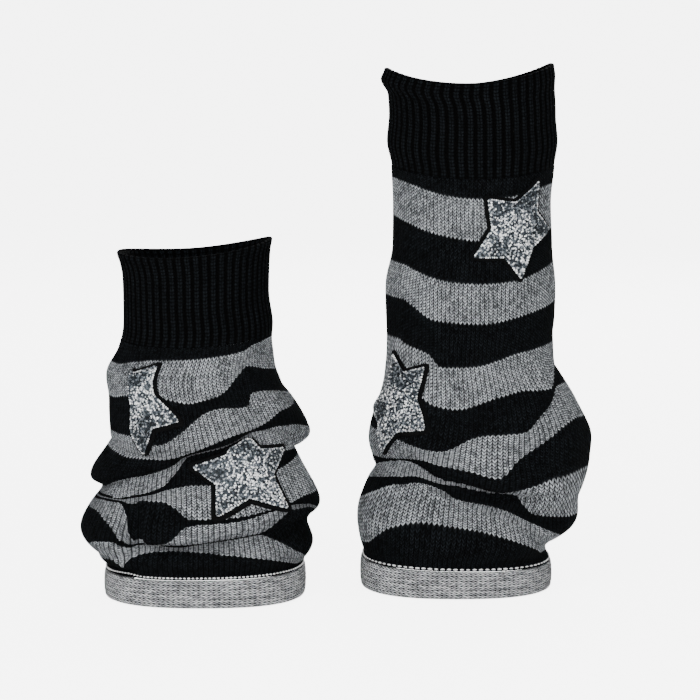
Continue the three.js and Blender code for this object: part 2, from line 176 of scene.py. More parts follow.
knitPlan = {
    "wales": 125,            # stitches round a body
    "walesColumns": 3,       # mesh columns for each
    "stripeRows": 13,
    "firstRows": 6,          # rows of the short black start under the cuff
    "wall": 2.2,
    "relief": 0.42,
    "ridge": (-0.55, 0.3, 0.3),     # share of the relief at each of a stitch's columns
    "waves": (4, 0.35),             # seed and size of the body's slight unevenness
    "seamGap": 0.3,
    "wallPasses": 14,               # how far the inner wall is evened out
}


def knitFinish(name, yarn, striped=False):
    # stockinette or rib in the piece's own coordinates: u counts stitches, v counts rows
    finish = Finish(name)
    uv = finish.add("ShaderNodeUVMap", {"uv_map": "knit"}, {})
    parts = finish.add("ShaderNodeSeparateXYZ", {}, {0: uv})
    wale, row = parts.out(0), parts.out(1)
    place = finish.add("ShaderNodeTexCoord", {}, {}, out="Object")
    edge = abs(wale.fract() - 0.5) * 2
    leg = row + (edge - 0.5) * yarn["slant"]
    loop = leg.floor()
    strand = (leg.fract() * pi).sine()
    plump = strand ** yarn["plump"]
    height = plump * (1 - edge ** yarn["gapSharp"]) * (1 - (1 - edge) ** 5 * 0.6)
    side = (wale * 2).floor()
    cell = finish.add("ShaderNodeCombineXYZ", {}, {0: side, 1: loop})
    own = finish.add("ShaderNodeTexWhiteNoise", {"noise_dimensions": "2D"}, {"Vector": cell})
    fibre = finish.noise(place, 1500.0, 3.0)
    cloud = finish.noise(place, 55.0, 2.0)
    shade = 0.5 + (fibre - 0.5) * yarn["fibre"] + (own - 0.5) * yarn["mottle"] + (cloud - 0.5) * 0.5
    light = finish.mix(shade, yarn["greyDark"], yarn["greyLight"])
    dark = finish.mix(shade, yarn["blackDark"], yarn["blackLight"])
    if striped:
        stripe = ((loop - knitPlan["firstRows"] + 0.5) / knitPlan["stripeRows"]).floor()
        black = (stripe * 0.5).fract() * 2
        top = finish.mix(black, light, dark)
        gap = finish.mix(black, yarn["greyGapShade"], yarn["blackGapShade"])
    else:
        top, gap = (light, yarn["greyGapShade"]) if yarn["isGrey"] else (dark, yarn["blackGapShade"])
    # the colour falls from the yarn's tone at the stitch tops to the gap colour in the hollows:
    # painted shade between stitches, wales, hem chains and rib grooves
    colour = finish.mix(height.between(yarn["gapLevel"], yarn["fullLevel"]), gap, top)
    bump = finish.add("ShaderNodeBump", {}, {"Strength": 0.8, "Distance": 0.0008, "Height": height})
    return finish.finishWith({"Base Color": colour, "Roughness": 0.95, "Normal": bump,
                              "Specular IOR Level": yarn["shine"]})


yarnPlan = {
    "greyDark": grey(0.06, 0.07),
    "greyLight": grey(0.54, 0.05),
    # the gap colours are painted shade in the hollows of the knit
    "greyGapShade": grey(0.005, 0.1),
    "blackDark": grey(0.0012, 0.1),
    "blackLight": grey(0.011, 0.2),
    "blackGapShade": grey(0.0006),
    "slant": 0.95,           # how far a stitch's legs lean, in rows
    "plump": 1.1,
    "gapSharp": 3.0,
    "gapLevel": 0.12,
    "fullLevel": 0.8,
    "fibre": 1.5,
    "mottle": 0.7,
    "shine": 0.03,
    "isGrey": True,
}
hemYarn = dict(yarnPlan, greyLight=grey(0.85, 0.02), greyDark=grey(0.16, 0.04), slant=1.5,
               plump=1.5, gapSharp=6.0, gapLevel=0.14, fullLevel=0.75)
# on the rib, the lighter ridge tops against dark grooves are painted highlight and shade; the
# raised blackLight brightens that painted ridge highlight
ribYarn = dict(yarnPlan, isGrey=False, blackLight=grey(0.016, 0.22), mottle=0.3, slant=0.3,
               plump=0.25, gapSharp=1.3, gapLevel=0.4, fullLevel=0.95)


def feltFinish():
    finish = Finish("blackFelt")
    place = finish.add("ShaderNodeTexCoord", {}, {}, out="Object")
    fibre = finish.noise(place, 1800.0, 4.0)
    cloud = finish.noise(place, 120.0, 2.0)
    shade = 0.5 + (fibre - 0.5) * 1.4 + (cloud - 0.5) * 0.6
    colour = finish.mix(shade, grey(0.0008), grey(0.005, 0.06))
    bump = finish.add("ShaderNodeBump", {}, {"Strength": 0.5, "Distance": 0.0004, "Height": fibre})
    return finish.finishWith({"Base Color": colour, "Roughness": 0.95, "Normal": bump,
                              "Specular IOR Level": 0.03})


def threadFinish(name, dull, bright, shine):
    finish = Finish(name)
    place = finish.add("ShaderNodeTexCoord", {}, {}, out="Object")
    fibre = finish.noise(place, 2500.0, 2.0)
    colour = finish.mix((fibre - 0.5) * 1.6 + 0.5, dull, bright)
    bump = finish.add("ShaderNodeBump", {}, {"Strength": 0.4, "Distance": 0.0002, "Height": fibre})
    return finish.finishWith({"Base Color": colour, "Roughness": 0.7, "Normal": bump,
                              "Specular IOR Level": shine})


def sequinFinish():
    # each disc's tone runs from dark blue grey to white silver: painted reflections and glints on
    # the silver, with the fine specks as painted sparkle
    finish = Finish("silverSequins")
    tone = finish.add("ShaderNodeAttribute", {"attribute_name": "tone"}, {}, out="Fac")
    place = finish.add("ShaderNodeTexCoord", {}, {}, out="Object")
    speck = finish.noise(place, 1400.0, 1.0)
    level = tone + (speck - 0.5) * 0.7
    colour = finish.add("ShaderNodeValToRGB", {"stops": [
        (0.0, grey(0.008, 0.25)), (0.4, grey(0.05, 0.22)), (0.65, grey(0.2, 0.1)),
        (0.83, grey(0.6, 0.03)), (1.0, grey(0.98, 0.0))]}, {0: level})
    rough = speck.between(0.2, 0.8) * 0.2 + 0.22
    return finish.finishWith({"Base Color": colour, "Metallic": 0.75, "Roughness": rough})


finishes = {
    "stripes": knitFinish("stripedKnit", yarnPlan, striped=True),
    "rib": knitFinish("blackRib", ribYarn),
    "hem": knitFinish("hemKnit", hemYarn),
    "felt": feltFinish(),
    "satin": threadFinish("blackSatinThread", grey(0.0006), grey(0.004, 0.1), 0.04),
    "link": threadFinish("lightLinkingThread", grey(0.45), grey(0.85), 0.2),
    "sequins": sequinFinish(),
}
print("finishes made")

# form of the knit tubes

droop = math.radians(26)      # how far a fold leans downwards as it swells

# section: height, x, half width, half depth, squareness, dip in front, dip behind, tilt
# fold: from and to in degrees, fade in, fade out, groove, peak, then its lower edge, height
# and swell at even steps from one end to the other
# seam: where each stripe ends, from the cuff down, as (degrees, height) pairs round the tube
tallPlan = {
    "name": "tall",
    "x": 0.0,
    "y": 0.0,
    "cuffFrom": 295.0,
    "links": 91,
    "top": 363.0,
    "rows": 190,
    "sections": [
        (363, -2.4, 58.6, 52.5, 2.20, 10.2, 14.5, 1.6),
        (356, -3.2, 60.4, 54.0, 2.20, 10.0, 13.5, 1.4),
        (345, -0.8, 57.8, 52.5, 2.10, 9.5, 11.5, 1.0),
        (330, 0.0, 57.8, 52.0, 2.10, 8.0, 8.0, 0.0),
        (312, 0.0, 59.2, 53.0, 2.10, 6.0, 6.0, 0.0),
        (294, 0.6, 56.2, 51.0, 2.10, 6.0, 6.0, 0.0),
        (270, 0.0, 54.8, 50.5, 2.10, 5.0, 5.0, 0.0),
        (240, 0.6, 55.5, 52.0, 2.10, 4.0, 4.0, 0.0),
        (212, -0.6, 58.8, 53.5, 2.10, 3.0, 3.0, 0.0),
        (190, -0.6, 58.8, 53.0, 2.10, 2.0, 2.0, 0.0),
        (166, -1.6, 57.0, 53.0, 2.10, 0.0, 0.0, 0.0),
        (137, 1.4, 63.8, 54.0, 2.10, 0.0, 0.0, 0.0),
        (121, 1.6, 65.0, 54.5, 2.10, 0.0, 0.0, 0.0),
        (103, -1.8, 63.4, 55.0, 2.10, 0.0, 0.0, 0.0),
        (78, -4.4, 63.4, 56.5, 2.15, 0.0, 0.0, 0.0),
        (45, -7.0, 64.0, 57.0, 2.20, 0.0, 0.0, 0.0),
        (24, -10.0, 64.5, 57.0, 2.35, 0.0, 0.0, -1.0),
        (19, -10.0, 65.2, 57.2, 2.40, 0.0, 0.0, -1.0),
    ],
    "hem": {"x": -10.0, "wide": 67.0, "deep": 59.0, "square": 2.45, "tilt": -1.0},
    "folds": [
        (-150, 66, 40, 24, 2.5, 0.42, [78, 82, 84, 91, 93, 91, 81, 77, 84],
         [52, 60, 64, 54, 42, 38, 34, 30, 26], [7, 8, 8, 8, 9, 9, 9, 8, 6]),
        (18, 130, 22, 40, 1.5, 0.35, [112, 128, 145, 156, 160, 160],
         [26, 30, 30, 26, 26, 24], [5, 6, 4, 2, 2, 2]),
        (-40, 185, 26, 44, 2.0, 0.52, [80, 72, 61, 50, 37, 28, 26, 30, 40, 60],
         [24, 40, 66, 92, 120, 137, 135, 115, 88, 60],
         [7, 12, 16, 20, 23.5, 24.5, 22.5, 16.5, 12, 8]),
        (-180, 180, 1, 1, 0.0, 0.5, [21, 21, 21, 21, 21, 24, 33, 26, 21],
         [60, 68, 74, 70, 50, 34, 42, 38, 60], [10, 11, 11, 12.5, 11, 8, 6.5, 7, 10]),
        (120, 250, 34, 34, 2.0, 0.4, [92, 100, 104, 98, 86],
         [40, 48, 50, 46, 40], [7, 10, 11, 10, 7]),
    ],
    "seams": [
        [(-180, 284), (-120, 286), (-79, 288), (-53, 287), (-38, 285), (-25, 283), (3, 281),
         (25, 281), (42, 283), (64, 284), (120, 284)],
        [(-180, 256), (-120, 259), (-77, 261), (-53, 259), (-38, 256), (-25, 254), (0, 251),
         (18, 250), (43, 251), (75, 252), (130, 254)],
        [(-180, 228), (-120, 230), (-58, 230), (-42, 227), (-29, 224), (-16, 222), (9, 221),
         (30, 222), (45, 225), (73, 229), (130, 230)],
        [(-180, 203), (-120, 205), (-54, 206), (-45, 203), (-38, 199), (-28, 194), (-18, 193),
         (6, 192), (33, 196), (49, 199), (79, 202), (130, 203)],
        [(-180, 176), (-120, 178), (-57, 178), (-51, 175), (-40, 172), (-31, 169), (-21, 160),
         (3, 161), (19, 165), (33, 169), (50, 171), (73, 173), (130, 175)],
        [(-180, 151), (-120, 141), (-81, 134), (-53, 137), (-36, 138), (-26, 133), (-12, 131),
         (13, 139), (40, 145), (51, 146), (70, 157), (100, 160), (140, 157)],
        [(-180, 127), (-120, 120), (-80, 117), (-59, 116), (-46, 113), (-21, 107), (-2, 114),
         (16, 117), (29, 120), (38, 127), (50, 135), (61, 144), (85, 147), (120, 143)],
        [(-180, 107), (-120, 96), (-66, 92), (-46, 94), (-25, 100), (-2, 101), (13, 98),
         (23, 105), (41, 117), (53, 124), (69, 128), (84, 128), (130, 120)],
        [(-180, 90), (-120, 86), (-92, 85), (-66, 89.5), (-46, 92.5), (-25, 90), (0, 84.5),
         (14, 81.5), (20, 88), (33, 94), (44, 97), (72, 98), (110, 99)],
        [(-180, 72), (-120, 75), (-92, 78), (-67, 81), (-47, 83), (-26, 85), (-12, 86),
         (14, 80), (21, 86), (33, 69), (42, 60), (58, 58), (80, 60), (130, 66)],
        [(-180, 54), (-120, 61), (-79, 69), (-63, 74), (-48, 79), (-25, 81), (-16, 80),
         (-6, 70), (12, 68), (23, 64), (37, 56), (54, 49), (96, 36), (130, 43)],
        [(-180, 37), (-120, 34), (-80, 34), (-61, 38), (-51, 47), (-41, 55), (-26, 59),
         (-8, 56), (9, 52), (20, 48), (32, 43), (46, 36), (58, 29), (90, 27), (130, 32)],
    ],
    "stars": [
        {"name": "Upper", "node": "tall_star_upper", "turn": 30.1, "rise": 257.3, "radius": 32.4,
         "spin": 129.3, "stretch": 1.07, "lean": 0.16, "seed": 3},
        {"name": "Lower", "node": "tall_star_lower", "turn": -52.7, "rise": 135.1, "radius": 25.9,
         "spin": 113.7, "stretch": 1.34, "lean": 0.08, "seed": 5},
    ],
}

lowPlan = {
    "name": "low",
    "x": -192.0,
    "y": -28.0,
    "cuffFrom": 180.0,
    "links": 143,
    "top": 242.0,
    "rows": 156,
    "sections": [
        (242, 0.6, 53.4, 48.0, 2.25, 4.5, 7.0, 4.5),
        (235, 1.0, 51.8, 47.0, 2.15, 4.0, 6.0, 4.5),
        (224, 1.4, 50.6, 46.5, 2.10, 3.0, 5.0, 3.5),
        (208, 1.4, 50.2, 46.0, 2.10, 3.0, 3.0, 2.5),
        (188, 2.6, 51.6, 46.5, 2.10, 3.0, 3.0, 2.0),
        (174, 0.6, 52.6, 47.0, 2.10, 3.0, 3.0, 2.0),
        (155, -4.0, 56.5, 49.0, 2.10, 2.0, 2.0, 1.0),
        (135, -0.6, 58.8, 51.0, 2.10, 0.0, 0.0, 0.0),
        (110, 5.2, 63.6, 52.5, 2.10, 0.0, 0.0, 0.0),
        (85, 5.0, 68.0, 54.5, 2.15, 0.0, 0.0, 0.0),
        (55, 6.5, 69.5, 56.5, 2.20, 0.0, 0.0, 0.0),
        (30, 6.5, 67.5, 57.5, 2.30, 0.0, 0.0, 0.0),
        (19, 6.5, 68.0, 58.0, 2.40, 0.0, 0.0, 0.8),
    ],
    "hem": {"x": 6.5, "wide": 69.6, "deep": 60.0, "square": 2.45, "tilt": 0.8},
    "folds": [
        (34, 150, 16, 40, 1.5, 0.4, [140, 145, 148, 149, 147, 142],
         [24, 26, 28, 28, 26, 24], [4, 3, 2, 3, 5, 5]),
        (45, 150, 32, 40, 0.0, 0.5, [124] * 3, [40] * 3, [5] * 3),
        (-125, 150, 34, 40, 2.0, 0.42, [114, 111, 106, 101, 101, 107, 117, 112, 101, 97, 100],
         [34, 34, 36, 36, 34, 30, 32, 46, 58, 54, 40], [4, 1, 1, 5, 9, 9, 8, 13, 17, 15, 9]),
        (-150, -2, 40, 22, 2.0, 0.42, [84, 78, 75, 77, 83, 91, 99],
         [30, 34, 34, 28, 20, 14, 10], [9, 11, 12, 11, 8, 5, 4]),
        (-140, -33, 36, 13, 2.0, 0.46, [44, 38, 33, 30, 25, 23],
         [40, 46, 50, 54, 56, 52], [12, 17, 19, 19, 18, 15]),
        (-37, 112, 10, 34, 2.0, 0.42, [40, 42, 43, 46, 49, 52, 54, 52, 48],
         [36, 34, 32, 34, 38, 44, 46, 48, 50], [14, 14, 12, 12, 12, 13, 14, 15, 15]),
        (80, 190, 26, 40, 0.0, 0.5, [46, 44, 42, 46, 54],
         [52, 56, 58, 50, 40], [6, 11, 13, 12, 8]),
        (-180, 180, 1, 1, 0.0, 0.5, [23] * 9,
         [26, 24, 18, 17, 20, 26, 32, 28, 26], [6, 6, 4, 4, 5, 6, 7.5, 5, 5]),
        (140, 262, 34, 34, 2.0, 0.42, [70, 76, 80, 74, 68],
         [34, 40, 42, 40, 34], [7, 11, 12, 11, 7]),
        (120, 250, 34, 34, 2.0, 0.42, [118, 124, 128, 124, 116],
         [30, 38, 40, 38, 32], [6, 9, 10, 9, 6]),
    ],
    "seams": [
        [(-180, 168), (-120, 165), (-90, 164), (-62, 165), (-46, 168), (-27, 171), (3, 172),
         (31, 173), (41, 174), (51, 177), (80, 178), (110, 174)],
        [(-180, 147), (-120, 141), (-64, 140), (-45, 143), (-28, 144), (-14, 142), (0, 139),
         (10, 141), (21, 144), (28, 148), (39, 158), (45, 163), (63, 160), (110, 154)],
        [(-180, 126), (-120, 118), (-64, 116), (-41, 118), (-25, 115), (-8, 123), (0, 128),
         (9, 133), (19, 136), (40, 139), (47, 146), (66, 147), (93, 144), (130, 135)],
        [(-180, 105), (-120, 103), (-87, 104), (-65, 102), (-49, 100), (-24, 101), (-14, 104),
         (-3, 110), (10, 117), (24, 122), (35, 123), (46, 128), (64, 138), (89, 142), (120, 120)],
        [(-180, 82), (-120, 76), (-73, 77), (-49, 86), (-38, 87), (-26, 91), (-15, 97), (-5, 106),
         (24, 115.5), (40, 119), (56, 125), (69, 126), (87, 124), (120, 98)],
        [(-180, 71), (-120, 72), (-84, 74), (-66, 73.5), (-49, 73), (-39, 75), (-27, 79),
         (-20, 83), (-14, 91), (-5, 104), (24, 112), (50, 104), (87, 101), (120, 82)],
        [(-180, 63), (-120, 68), (-84, 73.2), (-66, 73), (-49, 72.5), (-39, 74), (-27, 77),
         (-17, 81), (-2, 84), (5, 84), (20, 86), (50, 92), (87, 99), (120, 73)],
        [(-180, 56), (-120, 63), (-84, 72.4), (-66, 72.5), (-49, 72), (-40, 70), (-33, 73),
         (-21, 73), (-14, 70), (-5, 64.5), (6, 65), (21, 67), (46, 73), (65, 78), (93, 79),
         (120, 64)],
        [(-180, 49), (-120, 58), (-84, 71.6), (-66, 72), (-48, 71), (-42, 64), (-38, 47),
         (-27, 46), (-17, 52), (-7, 62), (6, 63.5), (20, 65.5), (34, 69.5), (51, 74), (62, 73),
         (80, 66), (120, 55)],
        [(-180, 42), (-120, 52), (-84, 68), (-66, 67), (-55, 63), (-46, 57), (-42, 50),
         (-38, 44.5), (-14, 42), (1, 48), (20, 52), (33, 54), (39, 62), (51, 71), (62, 71.5),
         (80, 63), (120, 47)],
        [(-180, 36), (-120, 42), (-84, 44), (-68, 46), (-57, 51), (-46, 52), (-38, 43.5),
         (-14, 40.5), (2, 43), (21, 46), (33, 48), (40, 46), (50, 42), (59, 37), (80, 29),
         (120, 35)],
        [(-180, 28), (-120, 30), (-84, 32), (-62, 35), (-49, 37), (-45, 34), (-43, 31),
         (-40, 36), (-34, 37), (-17, 39), (2, 39), (19, 38), (37, 35), (47, 32), (68, 24),
         (90, 22.5), (130, 25)],
    ],
    "stars": [
        {"name": "Front", "node": "low_star_front", "turn": 27.4, "rise": 92.3, "radius": 30.8,
         "spin": 163, "stretch": 0.93, "lean": 0.14, "top": 21, "seed": 7},
        {"name": "Side", "node": "low_star_side", "turn": -36.1, "rise": 141.2, "radius": 27.1,
         "spin": 61.7, "stretch": 1.24, "lean": -0.26, "left": -4.5, "seed": 11},
    ],
}


def curveThrough(knots, values, at):
    # a smooth curve that never overshoots its values
    knots = np.asarray(knots, float)
    values = np.asarray(values, float)
    steps = np.diff(knots)
    rises = np.diff(values) / steps
    slopes = np.zeros(len(knots))
    same = rises[:-1] * rises[1:] > 0
    first = np.where(same, rises[:-1], 1.0)
    second = np.where(same, rises[1:], 1.0)
    before = 2 * steps[1:] + steps[:-1]
    after = steps[1:] + 2 * steps[:-1]
    slopes[1:-1] = np.where(same, (before + after) / (before / first + after / second), 0.0)
    at = np.clip(at, knots[0], knots[-1])
    i = np.clip(np.searchsorted(knots, at, side="right") - 1, 0, len(steps) - 1)
    t = (at - knots[i]) / steps[i]
    k = 1 - t
    return (values[i] * k * k * (1 + 2 * t) + values[i + 1] * t * t * (1 + 2 * k)
            + steps[i] * t * k * (slopes[i] * k - slopes[i + 1] * t))


def evenCurve(values, at):
    return curveThrough(np.linspace(-1, 1, len(values)), values, at)


def smoothRise(t):
    t = np.clip(t, 0.0, 1.0)
    return t * t * (3 - 2 * t)


def wrapTurn(degrees):
    return (degrees + 180.0) % 360.0 - 180.0


def outlinePoint(wide, deep, square, angle):
    s, c = np.sin(angle), np.cos(angle)
    reach = (np.abs(s) ** square + np.abs(c) ** square) ** (-1 / square)
    return wide * reach * s, -deep * reach * c


def smoothForm(leg, angle, rise):
    table = np.array(leg["sections"], float)[::-1]
    x, wide, deep, square, dipFront, dipBack, tilt = (
        curveThrough(table[:, 0], table[:, k], rise) for k in range(1, 8))
    px, py = outlinePoint(wide, deep, square, angle)
    c = np.cos(angle)
    z = rise - np.where(c > 0, dipFront, dipBack) * c * c + tilt * np.sin(angle)
    return leg["x"] + x + px, leg["y"] + py, z


def foldSwell(leg, angle, rise):
    degrees = np.degrees(angle)
    swell = np.zeros(np.broadcast(angle, rise).shape)
    for start, end, fadeIn, fadeOut, groove, peak, edges, heights, swells in leg["folds"]:
        half = (end - start) / 2
        turn = wrapTurn(degrees - (start + end) / 2)
        u = np.clip(turn / half, -1, 1)
        fade = smoothRise((turn + half) / fadeIn) * smoothRise((half - turn) / fadeOut)
        if half >= 180:
            fade = 1.0
        above = rise - evenCurve(edges, u)
        v = above / evenCurve(heights, u)
        lower = np.sin(pi / 2 * np.clip(v / peak, 0, 1)) ** 1.2
        upper = 0.5 + 0.5 * np.cos(pi * np.clip((v - peak) / (1 - peak), 0, 1))
        swell = swell + fade * evenCurve(swells, u) * np.where(v < peak, lower, upper)
        swell = swell - groove * fade * np.exp(-((above + 1) / 3.2) ** 2)
    return swell


def legSurface(leg, angle, rise):
    # the outer surface as x, y and z above the floor
    before = smoothForm(leg, angle - 1e-3, rise)
    after = smoothForm(leg, angle + 1e-3, rise)
    outX, outY = after[1] - before[1], before[0] - after[0]
    length = np.hypot(outX, outY)
    swell = foldSwell(leg, angle, rise)
    x, y, z = smoothForm(leg, angle, rise)
    side = swell * math.cos(droop)
    return np.stack([x + side * outX / length, y + side * outY / length,
                     z - swell * math.sin(droop)], axis=-1)


def surfaceNormal(leg, angle, rise):
    across = legSurface(leg, angle + 0.01, rise) - legSurface(leg, angle - 0.01, rise)
    up = legSurface(leg, angle, rise + 0.5) - legSurface(leg, angle, rise - 0.5)
    normal = np.cross(across, up)
    return normal / np.linalg.norm(normal, axis=-1, keepdims=True)


def gridNormals(grid, passes=0):
    across = np.roll(grid, -1, axis=1) - np.roll(grid, 1, axis=1)
    normal = np.cross(across, np.gradient(grid, axis=0))
    normal[0, :, 2] = 0
    normal[-1, :, 2] = 0
    normal /= np.linalg.norm(normal, axis=-1, keepdims=True)
    for _ in range(passes):
        blend = normal * 2 + np.roll(normal, 1, axis=1) + np.roll(normal, -1, axis=1)
        blend[1:-1] += normal[2:] + normal[:-2]
        normal = blend / np.linalg.norm(blend, axis=-1, keepdims=True)
    return normal


def knitRow(leg, angle, rise):
    # rows of knitting counted down from the cuff, so that each stripe keeps its rows
    degrees = np.degrees(angle)
    ends = [np.full(np.shape(degrees), leg["cuffFrom"])]
    for seam in leg["seams"]:
        places = [d for d, _ in seam]
        heights = [h for _, h in seam]
        places = [places[-1] - 360] + places + [places[0] + 360, places[1] + 360]
        heights = [heights[-1]] + heights + [heights[0], heights[1]]
        ends.append(curveThrough(places, heights, degrees))
    ends.append(np.full(np.shape(degrees), hemPlan["height"]))
    row = np.zeros(np.broadcast(angle, rise).shape)
    for k in range(len(ends) - 1):
        upper = ends[k]
        lower = np.minimum(ends[k + 1], upper - 0.4)
        count = knitPlan["firstRows"] if k == 0 else knitPlan["stripeRows"]
        row = row + count * np.clip((upper - rise) / (upper - lower), 0, 1)
        ends[k + 1] = lower
    return row


# meshes


def meshObject(name, points, faces, finish, uvs=None):
    mesh = bpy.data.meshes.new(name)
    places = np.asarray(points, float).reshape(-1, 3) / 1000.0
    places[:, 2] -= floorDrop / 1000.0
    mesh.from_pydata(places.tolist(), [], faces)
    if uvs is not None:
        layer = mesh.uv_layers.new(name="knit")
        layer.data.foreach_set("uv", np.asarray(uvs, np.float32).ravel())
    mesh.materials.append(finish)
    mesh.shade_smooth()
    mesh.update()
    made = bpy.data.objects.new(name, mesh)
    bpy.context.scene.collection.objects.link(made)
    return made


def gridFaces(rows, columns, start, inward=False):
    i, j = np.meshgrid(np.arange(rows - 1), np.arange(columns), indexing="ij")
    k = (j + 1) % columns
    corners = [(i, j, j), (i, k, j + 1), (i + 1, k, j + 1), (i + 1, j, j)]
    if inward:
        corners = corners[::-1]
    faces = np.stack([start + r * columns + c for r, c, _ in corners], axis=-1).reshape(-1, 4)
    uvPlaces = np.stack([r * (columns + 1) + u for r, _, u in corners], axis=-1).reshape(-1)
    return faces.tolist(), uvPlaces


def closedTube(name, outer, inner, outerUv, innerUv, finish):
    # an outer and an inner wall joined along both rims; the outer has more columns
    rows, columns = outer.shape[:2]
    innerRows, innerColumns = inner.shape[:2]
    split = columns // innerColumns
    start = rows * columns
    faces, places = gridFaces(rows, columns, 0)
    innerFaces, innerPlaces = gridFaces(innerRows, innerColumns, start, inward=True)
    uvs = np.concatenate([outerUv.reshape(-1, 2)[places], innerUv.reshape(-1, 2)[innerPlaces]])
    faces += innerFaces
    rimUvs = []
    for row, innerRow, upward in ((rows - 1, innerRows - 1, True), (0, 0, False)):
        for j in range(innerColumns):
            out = [j * split + k for k in range(split + 1)]
            face = [row * columns + c % columns for c in out]
            spots = [outerUv[row, c] for c in out]
            face += [start + innerRow * innerColumns + c % innerColumns for c in (j + 1, j)]
            spots += [outerUv[row, out[-1]], outerUv[row, out[0]]]
            if not upward:
                face, spots = face[::-1], spots[::-1]
            faces.append(face)
            rimUvs += spots
    uvs = np.concatenate([uvs, np.array(rimUvs)])
    return meshObject(name, np.concatenate([outer.reshape(-1, 3), inner.reshape(-1, 3)]),
                      faces, finish, uvs)


def ringAngles(columns):
    return 2 * pi * np.arange(columns)[None, :] / columns - pi


def uvGrid(across, rows):
    # across has one more column than the mesh, so that the pattern closes behind
    return np.stack(np.broadcast_arrays(across[None, :], np.concatenate(
        [rows, rows[:, :1]], axis=1)), axis=-1)


def softWaves(angle, rise, seed, size):
    # slight unevenness, as in any knit that has been worn
    chance = np.random.RandomState(seed)
    total = np.zeros(np.broadcast(angle, rise).shape)
    for _ in range(9):
        turns = chance.randint(2, 9)
        lift = chance.uniform(-0.16, 0.16)
        total = total + np.sin(angle * turns + rise * lift + chance.uniform(0, 2 * pi))
    return total * size / 3


def makeBody(leg):
    columns = knitPlan["wales"] * knitPlan["walesColumns"]
    gap = knitPlan["seamGap"]
    rise = np.linspace(hemPlan["height"] + gap, leg["cuffFrom"] - gap, leg["rows"])[:, None]
    angle = ringAngles(columns)
    plain = legSurface(leg, angle, rise)
    normals = gridNormals(plain)
    ridge = np.array(knitPlan["ridge"])[np.arange(columns) % knitPlan["walesColumns"]]
    lift = ridge * knitPlan["relief"] + softWaves(angle, rise, *knitPlan["waves"])
    outer = plain + normals * lift[..., None]
    wall = knitPlan["wall"]
    inward = gridNormals(plain, passes=knitPlan["wallPasses"]) * wall
    inner = (plain - inward)[::2, ::knitPlan["walesColumns"]]
    rows = knitRow(leg, angle, rise)
    across = np.arange(columns + 1) / knitPlan["walesColumns"]
    innerAcross = np.arange(inner.shape[1] + 1).astype(float)
    innerRows = rows[::2, ::knitPlan["walesColumns"]]
    return closedTube(leg["name"] + "Body", outer, inner, uvGrid(across, rows),
                      uvGrid(innerAcross, innerRows), finishes["stripes"])


cuffPlan = {
    "ribs": 56,
    "perRib": 8,            # mesh columns for each
    "ribDepth": 1.1,
    "wall": 2.8,
    "rowHeight": 2.4,
    "overlap": 0.25,        # how far the cuff reaches below the line where it starts
    "fadeIn": 5.0,          # height over which the ribs rise out of the body
    "rim": [(0.35, 0.5), (1.2, 0.85), (2.1, 0.55)],     # in and up, over the rounded top
}


def makeCuff(leg):
    perRib = cuffPlan["perRib"]
    columns = cuffPlan["ribs"] * perRib
    height = leg["top"] - leg["cuffFrom"]
    start = leg["cuffFrom"] - cuffPlan["overlap"]
    rise = np.linspace(start, leg["top"], int(height / 2.2))[:, None]
    angle = ringAngles(columns)
    plain = legSurface(leg, angle, rise)
    normals = gridNormals(plain)
    part = np.arange(columns) % perRib / perRib
    ridge = np.sin(pi * part) ** 0.8
    depth = cuffPlan["ribDepth"] * smoothRise((rise - leg["cuffFrom"]) / cuffPlan["fadeIn"])
    outer = plain + normals * (depth * (ridge[None, :] - 1))[..., None]
    rim = []
    for back, up in cuffPlan["rim"]:
        ring = outer[-1] - normals[-1] * back
        ring[:, 2] += up
        rim.append(ring)
    outer = np.concatenate([outer, np.array(rim)])
    inner = (plain - gridNormals(plain, passes=4) * cuffPlan["wall"])[::2, ::4]
    inner[-1] = plain[-1, ::4] - normals[-1, ::4] * cuffPlan["wall"]
    rows = (leg["top"] - rise) / cuffPlan["rowHeight"] + 0 * angle
    rows = np.concatenate([rows, np.repeat(rows[-1:], 3, axis=0) - [[0.3], [0.7], [1.1]]])
    across = np.arange(columns + 1) / perRib
    return closedTube(leg["name"] + "Cuff", outer, inner, uvGrid(across, rows),
                      uvGrid(across[::4], rows[:inner.shape[0] * 2:2, ::4][:inner.shape[0]]),
                      finishes["rib"])


hemPlan = {
    "height": 19.0,
    "chains": 6,           # sideways chains that show from its lower to its upper edge
    "columns": 384,
    "rowsRound": 128,
    "relief": 0.38,
    "outside": [(-1.2, 0.0), (-0.4, 0.6), (0.0, 1.8), (0.35, 5.0), (0.5, 9.0), (0.35, 13.5),
                (0.0, 17.0), (-0.4, 18.4), (-1.3, 19.0)],
    "inside": [(-2.8, 19.0), (-4.2, 18.6), (-4.2, 13.0), (-4.2, 7.0), (-4.2, 1.3), (-3.0, 0.0)],
}


